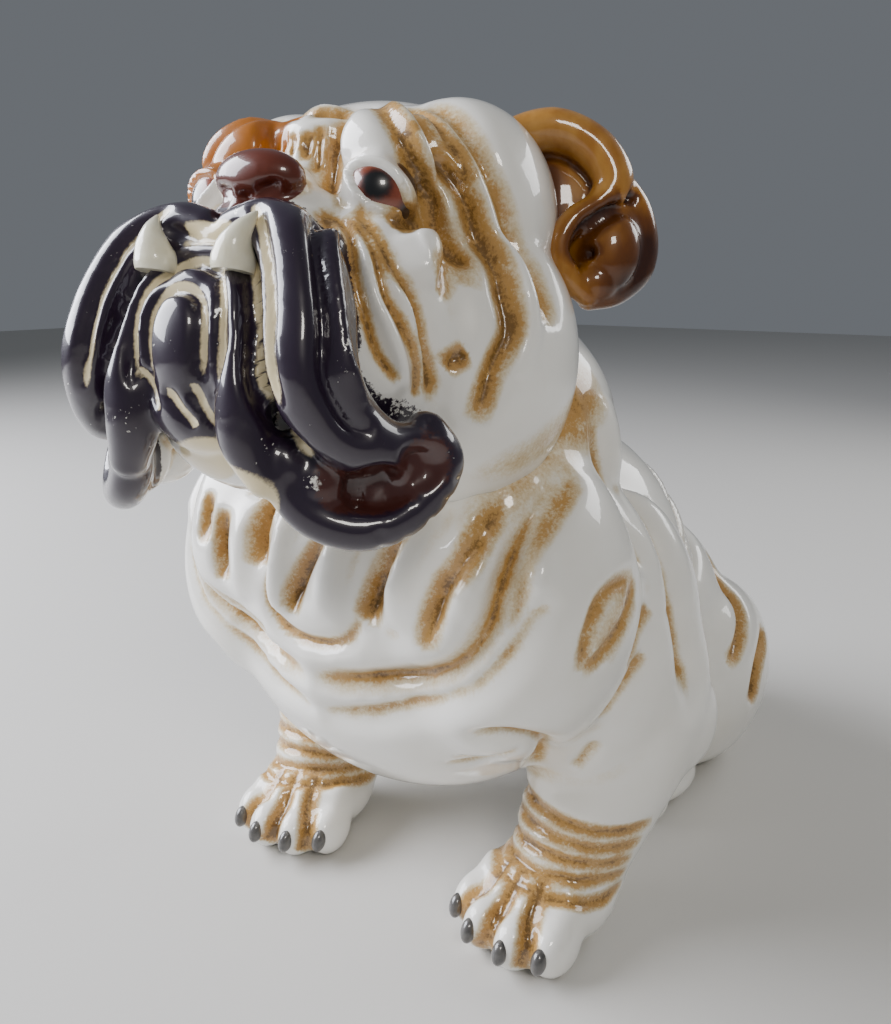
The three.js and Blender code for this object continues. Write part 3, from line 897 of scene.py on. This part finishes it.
def paintedWhiteware():
    # White slip under a clear glossy glaze, with iron oxide wiped into the folds, a painted shadow in the
    # same brown under the jaw, and purple-black lips.
    material, tree, shader = newMaterial("glazed hand-painted earthenware")
    place = addNode(tree, "ShaderNodeTexCoord").outputs["Object"]
    speckle = addNode(tree, "ShaderNodeTexNoise", {
        "Vector": place, "Scale": 1 / (1.3 * mm), "Detail": 4, "Roughness": 0.7}).outputs["Fac"]
    patch = addNode(tree, "ShaderNodeTexNoise", {
        "Vector": place, "Scale": 1 / (9 * mm), "Detail": 3}).outputs["Fac"]
    speckle = addNode(tree, "ShaderNodeMath", {
        0: patch, 1: 0.8, 2: speckle}, operation="MULTIPLY_ADD").outputs[0]
    speckle = addNode(tree, "ShaderNodeMath", {0: speckle, 1: 0.9}, operation="SUBTRACT").outputs[0]
    cloud = addNode(tree, "ShaderNodeTexNoise", {
        "Vector": place, "Scale": 1 / (22 * mm), "Detail": 3}).outputs["Fac"]
    surface = addNode(tree, "ShaderNodeMix", {
        0: cloud, 6: toLinear("#F8F7F2"), 7: toLinear("#EEEBE1")}, data_type="RGBA").outputs[2]
    for attribute, colour, start, full, reach in paintLayers:
        laid = addNode(tree, "ShaderNodeAttribute", attribute_name=attribute).outputs["Fac"]
        rough = addNode(tree, "ShaderNodeMath", {0: speckle, 1: reach}, operation="MULTIPLY").outputs[0]
        pushed = addNode(tree, "ShaderNodeMath", {
            0: rough, 1: laid, 2: laid}, operation="MULTIPLY_ADD").outputs[0]
        cover = addNode(tree, "ShaderNodeMapRange", {
            "Value": pushed, "From Min": start, "From Max": full},
            interpolation_type="SMOOTHSTEP").outputs["Result"]
        surface = addNode(tree, "ShaderNodeMix", {
            0: cover, 6: surface, 7: toLinear(colour)}, data_type="RGBA").outputs[2]
    tree.links.new(surface, shader.inputs["Base Color"])
    shader.inputs["Roughness"].default_value = 0.36
    shader.inputs["Specular IOR Level"].default_value = 0.3
    shader.inputs["Coat Weight"].default_value = 1
    shader.inputs["Coat Roughness"].default_value = 0.05
    swell = addNode(tree, "ShaderNodeTexNoise", {
        "Vector": place, "Scale": 1 / (9 * mm), "Detail": 2}).outputs["Fac"]
    bump = addNode(tree, "ShaderNodeBump", {"Height": swell, "Strength": 0.25, "Distance": 0.4 * mm})
    tree.links.new(bump.outputs["Normal"], shader.inputs["Coat Normal"])
    return material


def amberGlaze():
    # Honey-brown lead glaze: it runs thin and orange on the ridges and pools dark in the hollows.
    material, tree, shader = newMaterial("amber glazed earthenware")
    place = addNode(tree, "ShaderNodeTexCoord").outputs["Object"]
    streak = addNode(tree, "ShaderNodeMapping", {"Vector": place, "Scale": (1, 1, 0.35)}).outputs["Vector"]
    cloud = addNode(tree, "ShaderNodeTexNoise", {
        "Vector": streak, "Scale": 1 / (7 * mm), "Detail": 4}).outputs["Fac"]
    pool = addNode(tree, "ShaderNodeAttribute", attribute_name="pool").outputs["Fac"]
    depth = addNode(tree, "ShaderNodeMath", {
        0: cloud, 1: 0.45, 2: pool}, operation="MULTIPLY_ADD").outputs[0]
    ramp = addNode(tree, "ShaderNodeValToRGB", {"Fac": depth})
    stops = ramp.color_ramp.elements
    stops[0].position, stops[0].color = 0.12, toLinear("#B88842")
    stops[1].position, stops[1].color = 1.0, toLinear("#35180A")
    for position, colour in ((0.32, "#94601F"), (0.58, "#683B12")):
        stops.new(position).color = toLinear(colour)
    tree.links.new(ramp.outputs["Color"], shader.inputs["Base Color"])
    shader.inputs["Roughness"].default_value = 0.35
    shader.inputs["Specular IOR Level"].default_value = 0.15
    shader.inputs["Coat Weight"].default_value = 1
    shader.inputs["Coat Roughness"].default_value = 0.03
    return material


def eyeGlaze():
    # Black pupil and red-brown iris under thick clear glaze, which gives one sharp highlight.
    material, tree, shader = newMaterial("underglaze painted eye")
    place = addNode(tree, "ShaderNodeTexCoord").outputs["Object"]
    fleck = addNode(tree, "ShaderNodeTexNoise", {
        "Vector": place, "Scale": 1 / (1.6 * mm), "Detail": 4}).outputs["Fac"]
    far = addNode(tree, "ShaderNodeAttribute", attribute_name="fromPupil").outputs["Fac"]
    ring = addNode(tree, "ShaderNodeMath", {0: fleck, 1: 1.6, 2: far}, operation="MULTIPLY_ADD").outputs[0]
    share = addNode(tree, "ShaderNodeMath", {0: ring, 1: 14.0}, operation="DIVIDE").outputs[0]
    ramp = addNode(tree, "ShaderNodeValToRGB", {"Fac": share})
    stops = ramp.color_ramp.elements
    stops[0].position, stops[0].color = 0.29, toLinear("#060607")
    stops[1].position, stops[1].color = 0.85, toLinear("#2A110A")
    for position, colour in ((0.35, "#3A160C"), (0.45, "#7C3820"), (0.62, "#8A4630")):
        stops.new(position).color = toLinear(colour)
    tree.links.new(ramp.outputs["Color"], shader.inputs["Base Color"])
    shader.inputs["Roughness"].default_value = 0.3
    shader.inputs["Coat Weight"].default_value = 1
    shader.inputs["Coat Roughness"].default_value = 0.02
    return material


def toothGlaze():
    # Ivory-white glaze with a faint warm cloud in it.
    material, tree, shader = newMaterial("ivory glazed earthenware")
    place = addNode(tree, "ShaderNodeTexCoord").outputs["Object"]
    cloud = addNode(tree, "ShaderNodeTexNoise", {
        "Vector": place, "Scale": 1 / (5 * mm), "Detail": 4}).outputs["Fac"]
    surface = addNode(tree, "ShaderNodeMix", {
        0: cloud, 6: toLinear("#F6F4E2"), 7: toLinear("#DED6B4")}, data_type="RGBA").outputs[2]
    tree.links.new(surface, shader.inputs["Base Color"])
    shader.inputs["Roughness"].default_value = 0.35
    shader.inputs["Coat Weight"].default_value = 1
    shader.inputs["Coat Roughness"].default_value = 0.05
    return material


def clawGlaze():
    # Iron-grey underglaze, glossy, with a fine cloud of paler grey.
    material, tree, shader = newMaterial("grey underglaze painted claws")
    place = addNode(tree, "ShaderNodeTexCoord").outputs["Object"]
    cloud = addNode(tree, "ShaderNodeTexNoise", {
        "Vector": place, "Scale": 1 / (2.5 * mm), "Detail": 4}).outputs["Fac"]
    surface = addNode(tree, "ShaderNodeMix", {
        0: cloud, 6: toLinear("#26262A"), 7: toLinear("#6A6762")}, data_type="RGBA").outputs[2]
    tree.links.new(surface, shader.inputs["Base Color"])
    shader.inputs["Roughness"].default_value = 0.35
    shader.inputs["Coat Weight"].default_value = 1
    shader.inputs["Coat Roughness"].default_value = 0.05
    return material


whiteware, amberware, eyeware, toothware = paintedWhiteware(), amberGlaze(), eyeGlaze(), toothGlaze()
clawware = clawGlaze()


def showPiece(name, mesh, material, *nodes):
    mesh.transform(makersFrame)
    mesh.materials.clear()
    mesh.materials.append(material)
    obj = addMesh(name, mesh)
    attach(obj, "root")
    if nodes:
        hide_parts(*nodes)
    return obj


showPiece("body", bodyPieces["body"], whiteware, "body_casting")
showPiece("tail", tailSkin(), whiteware, "tail")
showPiece("head", headSkin.mesh, whiteware, "head_casting")
for side, word in ((left, "left"), (right, "right")):
    showPiece("foreleg" + word.title(), bodyPieces[word], whiteware, "foreleg_" + word)
    claws = showPiece("claws" + word.title(), clawMesh(side, torsoClay[word + "Paw"]), clawware)
    showPiece("hindFoot" + word.title(), hindFootSkin(side), whiteware, "hind_foot_" + word)
    showPiece("ear" + word.title(), earMeshes[side], amberware, "ear_" + word)
    showPiece("eye" + word.title(), eyeMesh(side), eyeware, "eye_" + word)
    showPiece("tusk" + word.title(), tuskMesh(side), toothware, "tusk_" + word)

print("pieces in place")


def addCamera():
    camera = bpy.data.cameras.new("camera")
    camera.sensor_width = 36
    camera.lens = 31.4
    camera.clip_start = 0.01
    obj = bpy.data.objects.new("camera", camera)
    bpy.context.scene.collection.objects.link(obj)
    azimuth, down = math.radians(36), math.radians(15)
    aim = Vector((-math.sin(azimuth) * math.cos(down), math.cos(azimuth) * math.cos(down), -math.sin(down)))
    obj.location = makersFrame @ (Vector((219.5, -372, 267)) * mm)
    obj.rotation_euler = aim.to_track_quat("-Z", "Y").to_euler()
    bpy.context.scene.camera = obj


def addLight(name, at, aim, size, power, colour=(1, 1, 1)):
    light = bpy.data.lights.new(name, "AREA")
    light.shape = "RECTANGLE"
    light.size, light.size_y = size
    light.energy = power
    light.color = colour
    obj = bpy.data.objects.new(name, light)
    obj.location = at
    obj.rotation_euler = (Vector(aim) - Vector(at)).to_track_quat("-Z", "Y").to_euler()
    bpy.context.scene.collection.objects.link(obj)
    return obj


addCamera()
floorMesh = bpy.data.meshes.new("floor")
flat = bmesh.new()
bmesh.ops.create_grid(flat, x_segments=1, y_segments=1, size=4)
flat.to_mesh(floorMesh)
flat.free()
floorMaterial, _, floorShader = newMaterial("pale studio floor")
floorShader.inputs["Base Color"].default_value = toLinear("#C9C7C2")
floorShader.inputs["Roughness"].default_value = 0.7
floorMesh.materials.append(floorMaterial)
floor = addMesh("floor", floorMesh)
lights = [
    addLight("window", (-1.25, -0.7, 0.95), (0, -0.08, 0.2), (1.4, 1.1), 72, (0.9, 0.92, 1)),
    addLight("lamp", (0.9, -0.9, 1.1), (0, -0.05, 0.18), (0.3, 0.3), 7, (1, 0.95, 0.88)),
    addLight("rim", (0.5, 1.0, 0.8), (0, 0, 0.2), (0.8, 0.4), 6),
]
world = bpy.data.worlds.new("studio")
world.use_nodes = True
world.node_tree.nodes["Background"].inputs["Color"].default_value = toLinear("#AEB4BC")
world.node_tree.nodes["Background"].inputs["Strength"].default_value = 0.34
bpy.context.scene.world = world
print("stage set")
